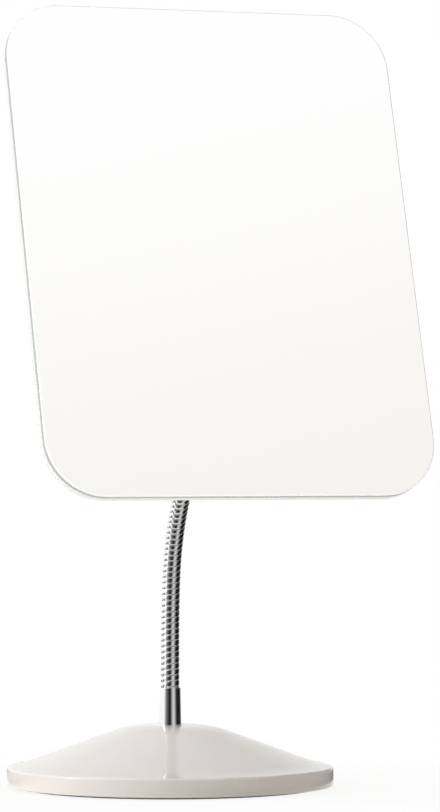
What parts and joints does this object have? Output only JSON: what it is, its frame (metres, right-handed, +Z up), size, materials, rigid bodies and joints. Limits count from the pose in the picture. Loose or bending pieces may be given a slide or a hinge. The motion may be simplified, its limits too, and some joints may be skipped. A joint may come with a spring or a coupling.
{
  "type": "makeup mirror",
  "caption": "Frameless rectangular tabletop mirror with round corners on a flexible chromed gooseneck that stays where it is bent, with a round weighted plastic base.",
  "frame": {"origin": "centre of the underside of the base pad", "axes": "+Z up, the pane faces -Y, +X to the right of a person looking into the mirror"},
  "size_m": [0.16, 0.1542, 0.3096],
  "materials": {
    "silvered_glass": "silvered, polished edge",
    "panel_plastic": "satin moulded",
    "base_plastic": "glossy moulded",
    "cover_plastic": "matt moulded",
    "chrome": "bright plated",
    "spring_steel": "drawn wire",
    "zinc": "zinc plated",
    "ballast_steel": "mill finish",
    "foam_pad": "matt foam",
    "foam_tape": "matt foam"
  },
  "bodies": {
    "base": {"base_shell": "base_plastic", "base_cover": "cover_plastic", "cover_screws": "zinc", "base_pad": "foam_pad", "base_ballast": "ballast_steel", "base_washer": "zinc", "base_lock_washer": "zinc", "base_nut": "zinc", "lower_ferrule": "chrome", "neck_wire_foot": "chrome", "neck_spring_foot": "spring_steel"},
    "neck_01": {"neck_wire_01": "chrome", "neck_spring_01": "spring_steel"},
    "neck_02": {"neck_wire_02": "chrome", "neck_spring_02": "spring_steel"},
    "neck_03": {"neck_wire_03": "chrome", "neck_spring_03": "spring_steel"},
    "neck_04": {"neck_wire_04": "chrome", "neck_spring_04": "spring_steel"},
    "neck_05": {"neck_wire_05": "chrome", "neck_spring_05": "spring_steel"},
    "neck_06": {"neck_wire_06": "chrome", "neck_spring_06": "spring_steel"},
    "neck_07": {"neck_wire_07": "chrome", "neck_spring_07": "spring_steel"},
    "neck_08": {"neck_wire_08": "chrome", "neck_spring_08": "spring_steel"},
    "neck_09": {"neck_wire_09": "chrome", "neck_spring_09": "spring_steel"},
    "neck_10": {"neck_wire_10": "chrome", "neck_spring_10": "spring_steel"},
    "neck_11": {"neck_wire_11": "chrome", "neck_spring_11": "spring_steel"},
    "head": {"mirror_glass": "silvered_glass", "back_panel": "panel_plastic", "adhesive_pads": "foam_tape", "hub_nut": "zinc", "upper_ferrule": "chrome", "neck_wire_head": "chrome", "neck_spring_head": "spring_steel"}
  },
  "joints": [
    {"name": "neck_lower_tilt", "type": "hinge", "parent": "base", "child": "neck_01", "pos_m": [0, 0, 0.0447], "axis": [1, 0, 0], "range_deg": [-10, 4]},
    {"name": "neck_lower_sway", "type": "hinge", "parent": "neck_01", "child": "neck_02", "pos_m": [0, 0, 0.05578], "axis": [0, 1, 0], "range_deg": [-7, 7]},
    {"name": "neck_lower_tilt_2", "type": "hinge", "parent": "neck_02", "child": "neck_03", "pos_m": [0, -0.00009, 0.06686], "axis": [1, 0, 0], "range_deg": [-10, 4]},
    {"name": "neck_lower_sway_2", "type": "hinge", "parent": "neck_03", "child": "neck_04", "pos_m": [0, -0.00064, 0.07793], "axis": [0, 0.9975, 0.0713], "range_deg": [-7, 7]},
    {"name": "neck_lower_tilt_3", "type": "hinge", "parent": "neck_04", "child": "neck_05", "pos_m": [0, -0.0019, 0.08894], "axis": [1, 0, 0], "range_deg": [-10, 4]},
    {"name": "neck_lower_sway_3", "type": "hinge", "parent": "neck_05", "child": "neck_06", "pos_m": [0, -0.00469, 0.09965], "axis": [0, 0.9469, 0.3216], "range_deg": [-7, 7]},
    {"name": "neck_upper_tilt", "type": "hinge", "parent": "neck_06", "child": "neck_07", "pos_m": [0, -0.00901, 0.10985], "axis": [1, 0, 0], "range_deg": [-10, 4]},
    {"name": "neck_upper_sway", "type": "hinge", "parent": "neck_07", "child": "neck_08", "pos_m": [0, -0.01476, 0.11931], "axis": [0, 0.814, 0.5809], "range_deg": [-7, 7]},
    {"name": "neck_upper_tilt_2", "type": "hinge", "parent": "neck_08", "child": "neck_09", "pos_m": [0, -0.02184, 0.12783], "axis": [1, 0, 0], "range_deg": [-10, 4]},
    {"name": "neck_upper_sway_2", "type": "hinge", "parent": "neck_09", "child": "neck_10", "pos_m": [0, -0.03008, 0.13523], "axis": [0, 0.612, 0.7909], "range_deg": [-7, 7]},
    {"name": "neck_upper_tilt_3", "type": "hinge", "parent": "neck_10", "child": "neck_11", "pos_m": [0, -0.0393, 0.14135], "axis": [1, 0, 0], "range_deg": [-10, 4]},
    {"name": "neck_upper_sway_3", "type": "hinge", "parent": "neck_11", "child": "head", "pos_m": [0, -0.04933, 0.14606], "axis": [0, 0.358, 0.9337], "range_deg": [-7, 7]}
  ],
  "couplings": [
    {"joint": "neck_lower_tilt_2", "follows": "neck_lower_tilt", "ratio": 1},
    {"joint": "neck_lower_sway_2", "follows": "neck_lower_sway", "ratio": 1},
    {"joint": "neck_lower_tilt_3", "follows": "neck_lower_tilt", "ratio": 1},
    {"joint": "neck_lower_sway_3", "follows": "neck_lower_sway", "ratio": 1},
    {"joint": "neck_upper_tilt_2", "follows": "neck_upper_tilt", "ratio": 1},
    {"joint": "neck_upper_sway_2", "follows": "neck_upper_sway", "ratio": 1},
    {"joint": "neck_upper_tilt_3", "follows": "neck_upper_tilt", "ratio": 1},
    {"joint": "neck_upper_sway_3", "follows": "neck_upper_sway", "ratio": 1}
  ]
}
